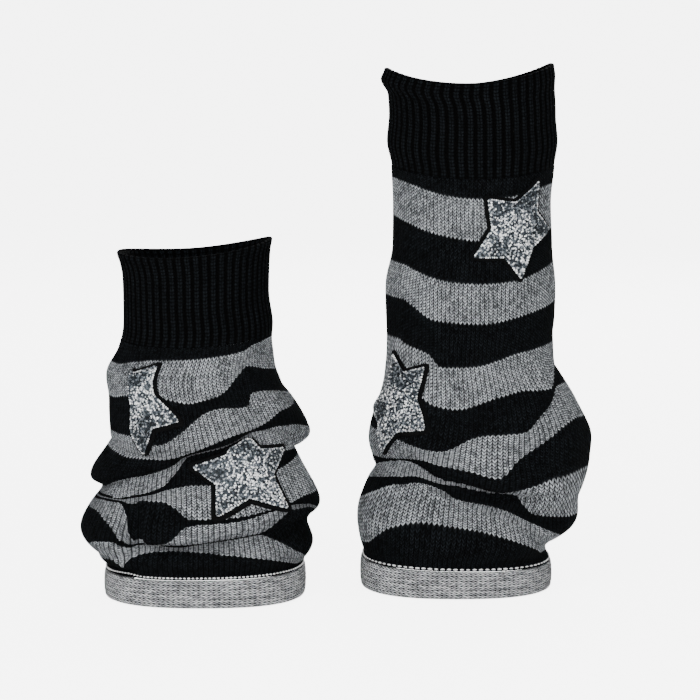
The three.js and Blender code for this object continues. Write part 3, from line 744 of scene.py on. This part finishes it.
def makeHem(leg):
    shape = leg["hem"]
    outside = np.array(hemPlan["outside"])
    lengths = np.concatenate([[0], np.cumsum(np.linalg.norm(np.diff(outside, axis=0), axis=1))])
    at = np.linspace(0, lengths[-1], hemPlan["chains"] * 4 + 1)
    out = np.interp(at, lengths, outside[:, 0])
    up = np.interp(at, lengths, outside[:, 1])
    chain = at / lengths[-1] * hemPlan["chains"]
    bulge = hemPlan["relief"] * (np.abs(np.sin(pi * chain)) ** 0.7 - 0.6)
    profile = [(o + b, u, c) for o, b, u, c in zip(out, bulge, up, chain)]
    profile += [(o, u, hemPlan["chains"] + 0.5 + k) for k, (o, u) in enumerate(hemPlan["inside"])]
    columns = hemPlan["columns"]
    angle = ringAngles(columns)[0]
    points = []
    for o, u, _ in profile:
        x, y = outlinePoint(shape["wide"] + o, shape["deep"] + o, shape["square"], angle)
        z = u + shape["tilt"] * np.sin(angle) * u / hemPlan["height"]
        points.append(np.stack([leg["x"] + shape["x"] + x, leg["y"] + y, z], axis=-1))
    points = np.array(points)
    rings = len(profile)
    closed = np.concatenate([points, points[:1]])
    faces, places = gridFaces(rings + 1, columns, 0)
    faces = (np.array(faces) % (rings * columns)).tolist()
    around = np.arange(columns + 1) / columns * hemPlan["rowsRound"]
    chains = np.array([c for _, _, c in profile] + [hemPlan["chains"] + 7.0])
    uv = np.stack(np.broadcast_arrays(chains[:, None], around[None, :]), axis=-1)
    return meshObject(leg["name"] + "Hem", closed[:rings], faces, finishes["hem"],
                      uv.reshape(-1, 2)[places])


# what repeats, made with Geometry Nodes


class Pattern:
    # a node tree whose sizes are named inputs
    def __init__(self, name, sizes):
        self.tree = bpy.data.node_groups.new(name, "GeometryNodeTree")
        face = self.tree.interface
        face.new_socket("Geometry", in_out="INPUT", socket_type="NodeSocketGeometry")
        face.new_socket("Geometry", in_out="OUTPUT", socket_type="NodeSocketGeometry")
        self.keys = {}
        for label, (kind, value) in sizes.items():
            socket = face.new_socket(label, in_out="INPUT", socket_type="NodeSocket" + kind)
            socket.default_value = value
            self.keys[label] = socket.identifier
        self.entry = self.tree.nodes.new("NodeGroupInput")
        self.exit = self.tree.nodes.new("NodeGroupOutput")

    def size(self, label):
        return self.entry.outputs[label]

    def add(self, kind, settings, sockets, out=0):
        node = self.tree.nodes.new(kind)
        for key, value in settings.items():
            setattr(node, key, value)
        for key, value in sockets.items():
            if isinstance(value, bpy.types.NodeSocket):
                self.tree.links.new(value, node.inputs[key])
            else:
                node.inputs[key].default_value = value
        return node.outputs[out]

    def close(self, geometry, finish):
        real = self.add("GeometryNodeRealizeInstances", {}, {0: geometry})
        dressed = self.add("GeometryNodeSetMaterial", {}, {"Geometry": real, "Material": finish})
        self.tree.links.new(dressed, self.exit.inputs[0])

    def apply(self, carrier, name, values):
        modifier = carrier.modifiers.new("pattern", "NODES")
        modifier.node_group = self.tree
        for label, value in values.items():
            modifier[self.keys[label]] = value
        evaluated = carrier.evaluated_get(bpy.context.evaluated_depsgraph_get())
        mesh = bpy.data.meshes.new_from_object(evaluated)
        mesh.name = name
        carrier.modifiers.remove(modifier)
        made = bpy.data.objects.new(name, mesh)
        bpy.context.scene.collection.objects.link(made)
        return made


def sequinPattern(finish):
    # shallow discs over a face, each a little tilted and with its own tone of painted reflection
    pattern = Pattern("sequins", {
        "Spacing": ("Float", 0.0014), "Disc": ("Float", 0.0024), "Lift": ("Float", 0.0003),
        "Tilt": ("Float", 0.35), "Seed": ("Int", 1)})
    spread = pattern.add("GeometryNodeDistributePointsOnFaces", {"distribute_method": "POISSON"}, {
        "Mesh": pattern.entry.outputs["Geometry"], "Distance Min": pattern.size("Spacing"),
        "Density Max": 4000000.0, "Seed": pattern.size("Seed")})
    node = spread.node
    away = pattern.add("ShaderNodeVectorMath", {"operation": "SCALE"},
                       {"Vector": node.outputs["Normal"], "Scale": pattern.size("Lift")})
    raised = pattern.add("GeometryNodeSetPosition", {}, {"Geometry": spread, "Offset": away})
    tone = pattern.add("FunctionNodeRandomValue", {"data_type": "FLOAT"},
                       {"Seed": pattern.size("Seed")}, out=1)
    facetGlint = pattern.add("GeometryNodeInputNamedAttribute", {"data_type": "FLOAT"},
                        {"Name": "facetGlint"})
    # the half arm's painted reflection is added to each disc's random painted glint
    level = pattern.add("ShaderNodeMath", {"operation": "ADD"}, {0: tone, 1: facetGlint})
    toned = pattern.add("GeometryNodeStoreNamedAttribute",
                        {"data_type": "FLOAT", "domain": "POINT"},
                        {"Geometry": raised, "Name": "tone", "Value": level})
    low = pattern.add("ShaderNodeMath", {"operation": "MULTIPLY"},
                      {0: pattern.size("Tilt"), 1: -1.0})
    least = pattern.add("ShaderNodeCombineXYZ", {}, {0: low, 1: low, 2: -3.0})
    most = pattern.add("ShaderNodeCombineXYZ", {}, {0: pattern.size("Tilt"),
                                                   1: pattern.size("Tilt"), 2: 3.0})
    lean = pattern.add("FunctionNodeRandomValue", {"data_type": "FLOAT_VECTOR"},
                       {0: least, 1: most, "Seed": pattern.size("Seed")}, out=0)
    turned = pattern.add("FunctionNodeRotateRotation", {"rotation_space": "LOCAL"},
                         {0: node.outputs["Rotation"], 1: lean})
    radius = pattern.add("ShaderNodeMath", {"operation": "MULTIPLY"},
                         {0: pattern.size("Disc"), 1: 0.5})
    disc = pattern.add("GeometryNodeMeshCone", {"fill_type": "NGON"}, {
        "Vertices": 8, "Side Segments": 1, "Radius Top": 0.0003, "Radius Bottom": radius,
        "Depth": 0.00028})
    placed = pattern.add("GeometryNodeInstanceOnPoints", {},
                         {"Points": toned, "Instance": disc, "Rotation": turned})
    pattern.close(placed, finish)
    return pattern


def edgePattern(name, finish):
    # small rounded stitches or beads along a line, lying along it or across it
    pattern = Pattern(name, {
        "Spacing": ("Float", 0.002), "Length": ("Float", 0.002), "Width": ("Float", 0.001),
        "Height": ("Float", 0.001), "Uneven": ("Float", 0.15), "Seed": ("Int", 1)})
    line = pattern.add("GeometryNodeMeshToCurve", {}, {0: pattern.entry.outputs["Geometry"]})
    even = pattern.add("GeometryNodeResampleCurve", {"mode": "LENGTH"},
                       {"Curve": line, "Length": pattern.size("Spacing")})
    tangent = pattern.add("GeometryNodeInputTangent", {}, {})
    normal = pattern.add("GeometryNodeInputNamedAttribute", {"data_type": "FLOAT_VECTOR"},
                         {"Name": "outward"})
    along = pattern.add("FunctionNodeAlignRotationToVector", {"axis": "X"}, {"Vector": tangent})
    upright = pattern.add("FunctionNodeAlignRotationToVector", {"axis": "Z", "pivot_axis": "X"},
                          {"Rotation": along, "Vector": normal})
    # a random tone for each bead, which the sequin finish turns into painted glints; the thread
    # finishes don't read it
    tone = pattern.add("FunctionNodeRandomValue", {"data_type": "FLOAT"},
                       {2: 0.45, 3: 1.0, "Seed": pattern.size("Seed")}, out=1)
    toned = pattern.add("GeometryNodeStoreNamedAttribute",
                        {"data_type": "FLOAT", "domain": "POINT"},
                        {"Geometry": even, "Name": "tone", "Value": tone})
    least = pattern.add("ShaderNodeMath", {"operation": "SUBTRACT"},
                        {0: 1.0, 1: pattern.size("Uneven")})
    most = pattern.add("ShaderNodeMath", {"operation": "ADD"},
                       {0: 1.0, 1: pattern.size("Uneven")})
    vary = pattern.add("FunctionNodeRandomValue", {"data_type": "FLOAT"},
                       {2: least, 3: most, "Seed": pattern.size("Seed")}, out=1)
    shape = pattern.add("ShaderNodeCombineXYZ", {}, {
        0: pattern.size("Length"), 1: pattern.size("Width"), 2: pattern.size("Height")})
    scaled = pattern.add("ShaderNodeVectorMath", {"operation": "SCALE"},
                         {"Vector": shape, "Scale": vary})
    bead = pattern.add("GeometryNodeMeshUVSphere", {}, {"Segments": 8, "Rings": 5, "Radius": 0.5})
    placed = pattern.add("GeometryNodeInstanceOnPoints", {}, {
        "Points": toned, "Instance": bead, "Rotation": upright, "Scale": scaled})
    pattern.close(placed, finish)
    return pattern


patterns = {
    "sequins": sequinPattern(finishes["sequins"]),
    "edge": edgePattern("sequinEdge", finishes["sequins"]),
    "satin": edgePattern("satinStitches", finishes["satin"]),
    "link": edgePattern("linkingStitches", finishes["link"]),
}


def lineObject(points, normals):
    # a closed line that a pattern follows, with the outward direction at each point
    mesh = bpy.data.meshes.new("line")
    places = np.asarray(points) / 1000.0
    places[:, 2] -= floorDrop / 1000.0
    count = len(places)
    mesh.from_pydata(places.tolist(), [(k, (k + 1) % count) for k in range(count)], [])
    outward = mesh.attributes.new("outward", "FLOAT_VECTOR", "POINT")
    outward.data.foreach_set("vector", np.asarray(normals, np.float32).ravel())
    made = bpy.data.objects.new("line", mesh)
    bpy.context.scene.collection.objects.link(made)
    return made


def drop(*objects):
    for made in objects:
        bpy.data.objects.remove(made)


linkPlan = {"rise": 20.8, "out": 0.55, "width": 0.0012, "height": 0.0011}


def makeLinkStitches(leg):
    angle = ringAngles(360)[0]
    rise = np.full(angle.shape, linkPlan["rise"])
    normals = surfaceNormal(leg, angle, rise)
    points = legSurface(leg, angle, rise) + normals * linkPlan["out"]
    length = np.linalg.norm(np.diff(points, axis=0, append=points[:1]), axis=1).sum() / 1000
    line = lineObject(points, normals)
    made = patterns["link"].apply(line, leg["name"] + "LinkStitches", {
        "Spacing": length / leg["links"], "Length": length / leg["links"] * 0.72,
        "Width": linkPlan["width"], "Height": linkPlan["height"], "Uneven": 0.12, "Seed": 2})
    drop(line)
    return made


# star patches

starPlan = {
    "notch": 0.565,         # inner radius over outer radius
    "border": 2.6,          # felt that shows round the sequins
    "step": 1.7,            # spacing of points over a patch
    "felt": (0.5, 1.7),     # nearest and farthest from the knit
    "plate": (1.75, 2.3),
    "roundness": 1.0,
    "bend": 54,             # radius that a patch is laid round
    "outlineStep": 1.2,
    "stitchStep": 0.5,
    "faceStep": 1.6,
    "feltBevel": 1.0,
    "plateBevel": 0.5,
    "plateTone": 0.08,
    # the half-arm and middle values below are painted reflections on the sequins
    "glintTones": (-0.26, 0.2),  # darkest and lightest half arm
    "middleGlint": 0.12,
    "middle": 0.42,         # share of the radius that the lighter middle takes
}

satinPlan = {"Spacing": 0.0009, "Length": 0.0008, "Width": 0.0025, "Height": 0.0008,
             "Uneven": 0.08}
discPlan = {"Spacing": 0.00095, "Disc": 0.0015, "Lift": 0.0003, "Tilt": 0.5}
beadPlan = {"Spacing": 0.0015, "Length": 0.0013, "Width": 0.0012, "Height": 0.0011,
            "Uneven": 0.3}


def starOutline(star):
    corners = []
    for k in range(10):
        angle = math.radians(star["spin"] + 36 * k)
        reach = (1 if k % 2 == 0 else starPlan["notch"]) * star["radius"]
        across = reach * math.cos(angle)
        corners.append((across, reach * math.sin(angle) * star["stretch"] + across * star["lean"]))
    return corners


def widened(outline, border):
    # the same outline moved out by a border, with rounded tips
    points = np.array(outline)
    along = np.roll(points, -1, axis=0) - points
    along /= np.linalg.norm(along, axis=1, keepdims=True)
    out = np.stack([along[:, 1], -along[:, 0]], axis=-1)
    moved = []
    for k, point in enumerate(points):
        first, second = out[k - 1], out[k]
        turn = math.atan2(first[0] * second[1] - first[1] * second[0], first @ second)
        if turn < 0:
            moved.append(tuple(point + (first + second) / (1 + first @ second) * border))
            continue
        start = math.atan2(first[1], first[0])
        for t in np.linspace(0, turn, 7):
            moved.append((point[0] + border * math.cos(start + t),
                          point[1] + border * math.sin(start + t)))
    return moved


def seenPart(star, outline):
    # an outline without what a fold hides
    for axis, edge, side in ((0, star.get("left", -99), 1), (1, star.get("top", 99), -1)):
        kept = []
        for a, b in zip(outline, outline[1:] + outline[:1]):
            here, there = side * (a[axis] - edge), side * (b[axis] - edge)
            if here >= 0:
                kept.append(a)
            if here * there < 0:
                part = here / (here - there)
                kept.append((a[0] + (b[0] - a[0]) * part, a[1] + (b[1] - a[1]) * part))
        outline = kept
    return outline


def roundCorners(outline, size):
    # each corner becomes a short bend
    points = np.array(outline)
    count = len(points)
    bent = []
    for k in range(count):
        here, before, after = points[k], points[k - 1], points[(k + 1) % count]
        back, ahead = before - here, after - here
        start = here + back / np.linalg.norm(back) * min(size, np.linalg.norm(back) * 0.4)
        end = here + ahead / np.linalg.norm(ahead) * min(size, np.linalg.norm(ahead) * 0.4)
        for t in (0.0, 0.33, 0.67, 1.0):
            bent.append(start * (1 - t) ** 2 + here * 2 * t * (1 - t) + end * t * t)
    return np.array(bent)


def evenOutline(points, step):
    closed = np.concatenate([points, points[:1]])
    lengths = np.concatenate([[0], np.cumsum(np.linalg.norm(np.diff(closed, axis=0), axis=1))])
    count = int(lengths[-1] / step)
    at = np.arange(count) * lengths[-1] / count
    return np.stack([np.interp(at, lengths, closed[:, k]) for k in (0, 1)], axis=-1)


def edgeDistance(points, outline):
    ends = np.roll(outline, -1, axis=0)
    along = ends - outline
    offset = points[:, None, :] - outline[None, :, :]
    t = np.clip((offset * along).sum(-1) / (along * along).sum(-1), 0, 1)
    return np.linalg.norm(offset - t[..., None] * along, axis=-1).min(axis=1)


def insideOutline(points, outline):
    x, y = points[:, 0], points[:, 1]
    crossings = np.zeros(len(points), bool)
    for (ax, ay), (bx, by) in zip(outline, np.roll(outline, -1, axis=0)):
        spans = (ay > y) != (by > y)
        crossings ^= spans & (x < (bx - ax) * (y - ay) / ((by - ay) or 1e-9) + ax)
    return crossings


def patchPlaces(star, flat):
    # angle and height of flat patch coordinates laid on the knit
    return math.radians(star["turn"]) + flat[:, 0] / starPlan["bend"], star["rise"] + flat[:, 1]


def patchPoints(leg, star, flat, lift):
    return legSurface(leg, *patchPlaces(star, flat)) + patchNormals(leg, star, flat) * lift[:, None]


def patchNormals(leg, star, flat):
    turn = math.radians(star["turn"])
    fixed = np.array([math.sin(turn), -math.cos(turn), 0.0])
    blend = surfaceNormal(leg, *patchPlaces(star, flat)) * 0.5 + fixed * 0.5
    return blend / np.linalg.norm(blend, axis=1, keepdims=True)


def patchMesh(outline, step):
    # points over a patch and the faces between them
    low, high = outline.min(axis=0), outline.max(axis=0)
    gx, gy = np.meshgrid(np.arange(low[0], high[0], step), np.arange(low[1], high[1], step))
    gx = gx + (np.arange(gx.shape[0]) % 2 * step / 2)[:, None]
    grid = np.stack([gx.ravel(), gy.ravel()], axis=-1)
    grid = grid[insideOutline(grid, outline)]
    grid = grid[edgeDistance(grid, outline) > step * 0.45]
    rim = len(outline)
    edges = [(k, (k + 1) % rim) for k in range(rim)]
    points = [Vector(p) for p in np.concatenate([outline, grid]).tolist()]
    places, _, faces, _, _, _ = delaunay_2d_cdt(points, edges, [], 1, 1e-6)
    return np.array([tuple(p) for p in places]), edges, [list(face) for face in faces]


def patchSlab(leg, star, name, outline, near, far, bevel, finish):
    flat, edges, faces = patchMesh(outline, starPlan["step"])
    away = edgeDistance(flat, outline)
    shape = np.sqrt(np.clip(1 - (1 - np.clip(away / bevel, 0, 1)) ** 2, 0, 1))
    top = patchPoints(leg, star, flat, near + (far - near) * (0.25 + 0.75 * shape))
    under = patchPoints(leg, star, flat, np.full(len(flat), near))
    count = len(flat)
    made = faces + [[count + v for v in reversed(face)] for face in faces]
    for a, b in edges:
        made.append([a, count + a, count + b, b])
    patch = meshObject(name, np.concatenate([top, under]), made, finish)
    turnOutward(patch)
    return patch


def turnOutward(piece):
    work = bmesh.new()
    work.from_mesh(piece.data)
    bmesh.ops.recalc_face_normals(work, faces=work.faces)
    work.to_mesh(piece.data)
    work.free()


def joined(name, pieces):
    # several plain meshes as one piece
    bpy.ops.object.select_all(action="DESELECT")
    for piece in pieces:
        piece.select_set(True)
    bpy.context.view_layer.objects.active = pieces[0]
    bpy.ops.object.join()
    pieces[0].name = name
    pieces[0].data.name = name
    return pieces[0]


def floatAttribute(piece, name, values):
    layer = piece.data.attributes.new(name, "FLOAT", "POINT")
    layer.data.foreach_set("value", np.asarray(values, np.float32))


def facetGlints(star, flat):
    # each half arm gets one painted reflection, lighter or darker than the next, as for sequins
    # lying one way; the middle gets a lighter painted reflection
    turn = np.degrees(np.arctan2(flat[:, 1] / star["stretch"], flat[:, 0])) - star["spin"]
    middle = np.hypot(flat[:, 0], flat[:, 1]) < star["radius"] * starPlan["middle"]
    glintTones = np.random.RandomState(star["seed"]).uniform(*starPlan["glintTones"], 11)
    glintTones[10] = starPlan["middleGlint"]
    return glintTones[np.where(middle, 10, np.floor((turn % 360) / 36).astype(int) % 10)]


def edging(leg, star, outline, lift, kind, name, sizes):
    # stitches or beads along an outline
    line = lineObject(patchPoints(leg, star, outline, np.full(len(outline), lift)),
                      patchNormals(leg, star, outline))
    made = patterns[kind].apply(line, name, sizes)
    drop(line)
    return made


def makeStar(leg, star):
    base = leg["name"] + "Star" + star["name"]
    border, step = starPlan["border"], starPlan["outlineStep"]
    corners = starOutline(star)
    inner = evenOutline(roundCorners(seenPart(star, corners), starPlan["roundness"]), step)
    middle = evenOutline(np.array(seenPart(star, widened(corners, border * 0.5))),
                         starPlan["stitchStep"])
    outer = evenOutline(np.array(seenPart(star, widened(corners, border))), step)
    near, far = starPlan["felt"]
    felt = patchSlab(leg, star, base + "Felt", outer, near, far, starPlan["feltBevel"],
                     finishes["felt"])
    satin = edging(leg, star, middle, far - 0.1, "satin", base + "Satin",
                   dict(satinPlan, Seed=star["seed"]))
    felt = joined(base + "Felt", [felt, satin])
    near, far = starPlan["plate"]
    plate = patchSlab(leg, star, base + "Plate", inner, near, far, starPlan["plateBevel"],
                      finishes["sequins"])
    floatAttribute(plate, "tone", np.full(len(plate.data.vertices), starPlan["plateTone"]))
    flat, _, faces = patchMesh(inner, starPlan["faceStep"])
    face = meshObject("face", patchPoints(leg, star, flat, np.full(len(flat), far)), faces,
                      finishes["sequins"])
    # the facet values are painted reflections of each half arm and of the middle
    floatAttribute(face, "facetGlint", facetGlints(star, flat))
    discs = patterns["sequins"].apply(face, base + "Discs", dict(discPlan, Seed=star["seed"]))
    drop(face)
    beads = edging(leg, star, inner, far + 0.1, "edge", base + "Beads",
                   dict(beadPlan, Seed=star["seed"] + 20))
    return felt, joined(base + "Sequins", [plate, discs, beads])


# the pair


def makeLeg(leg):
    name = leg["name"]
    cuff, body, hem = makeCuff(leg), makeBody(leg), makeHem(leg)
    links = makeLinkStitches(leg)
    for piece, node, slot in ((cuff, "_cuff", "black_rib"), (body, "_body", "striped_knit"),
                              (hem, "_hem", "hem_knit")):
        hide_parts(name + node)
    print(name, "knit made")
    patches = []
    for star in leg["stars"]:
        felt, sequins = makeStar(leg, star)
        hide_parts(star["node"] + "_backing")
        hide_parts(star["node"] + "_sequins")
        patches += [felt, sequins]
    print(name, "stars made")
    for piece in [cuff, body, hem, links] + patches:
        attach(piece, "root")
        print(piece.name, sum(len(p.vertices) - 2 for p in piece.data.polygons), "triangles")


for leg in (tallPlan, lowPlan):
    makeLeg(leg)

# floor and light

studioPlan = {
    "level": -0.331,       # just under the hems
    "reach": 60,           # half the wide floor's side
    "bounceReach": 6,
    "ceiling": 40,
    "floor": 0.9,
    "lit": 0.8,            # what the lamps and the sky add to the floor's glow
    "glow": 5.5,           # added to the floor and the backdrop, only as the camera sees them
    "world": 0.66,
    "lamps": [
        # place, aim, size, watts
        ((-1.1, -1.5, 1.1), (-0.09, 0.0, -0.15), 0.9, 27.0),
        ((1.3, -1.2, 0.6), (-0.09, 0.0, -0.2), 1.0, 9.0),
        ((-0.09, -1.2, -0.1), (-0.09, 0.0, -0.3), 0.5, 13.0),
        ((0.4, 1.8, 0.9), (-0.09, 0.0, -0.15), 1.0, 24.0),
    ],
}


def stageObject(name, points, faces, finish):
    mesh = bpy.data.meshes.new(name)
    mesh.from_pydata(points, [], faces)
    mesh.materials.append(finish)
    made = bpy.data.objects.new(name, mesh)
    bpy.context.scene.collection.objects.link(made)
    return made


def onlySeen(stage):
    # the camera sees it, and it neither lights nor shades the pair
    stage.visible_diffuse = False
    stage.visible_glossy = False
    stage.visible_transmission = False
    stage.visible_shadow = False


def stageFinish(name, level, glow):
    finish = Finish(name)
    place = finish.add("ShaderNodeTexCoord", {}, {}, out="Object")
    cloud = finish.noise(place, 3.0)
    colour = finish.mix(cloud, grey(level * 0.985), grey(level))
    return finish.finishWith({"Base Color": colour, "Roughness": 0.9, "Specular IOR Level": 0.1,
                              "Emission Color": grey(1.0), "Emission Strength": glow})


def square(reach, level):
    return [(-reach, -reach, level), (reach, -reach, level), (reach, reach, level),
            (-reach, reach, level)]


def makeStudio(plan):
    # a wide pale floor that fills the view, and the one under it that throws light back up
    level, reach = plan["level"], plan["reach"]
    floor = stageObject("floor", square(reach, level), [(0, 1, 2, 3)],
                        stageFinish("paleFloor", plan["floor"], plan["glow"]))
    onlySeen(floor)
    stageObject("floorBounce", square(plan["bounceReach"], level - 0.001), [(0, 1, 2, 3)],
                stageFinish("paleBounce", plan["floor"], 0.0))
    sides = [(0, 1, 5, 4), (1, 2, 6, 5), (2, 3, 7, 6), (3, 0, 4, 7), (4, 5, 6, 7)]
    corners = square(reach - 1, level) + square(reach - 1, plan["ceiling"])
    backdrop = stageObject("backdrop", corners, sides,
                           stageFinish("paleBackdrop", 0.0, plan["glow"] + plan["lit"]))
    onlySeen(backdrop)
    for place, aim, size, watts in plan["lamps"]:
        lamp = bpy.data.lights.new("softLamp", "AREA")
        lamp.size = size
        lamp.energy = watts
        holder = bpy.data.objects.new("softLamp", lamp)
        bpy.context.scene.collection.objects.link(holder)
        holder.location = place
        holder.rotation_euler = (Vector(aim) - holder.location).to_track_quat("-Z", "Y").to_euler()
    world = bpy.data.worlds.new("studio")
    bpy.context.scene.world = world
    world.use_nodes = True
    sky = world.node_tree.nodes["Background"]
    sky.inputs["Color"].default_value = (1.0, 1.0, 1.0, 1.0)
    sky.inputs["Strength"].default_value = plan["world"]


makeStudio(studioPlan)
print("studio made")
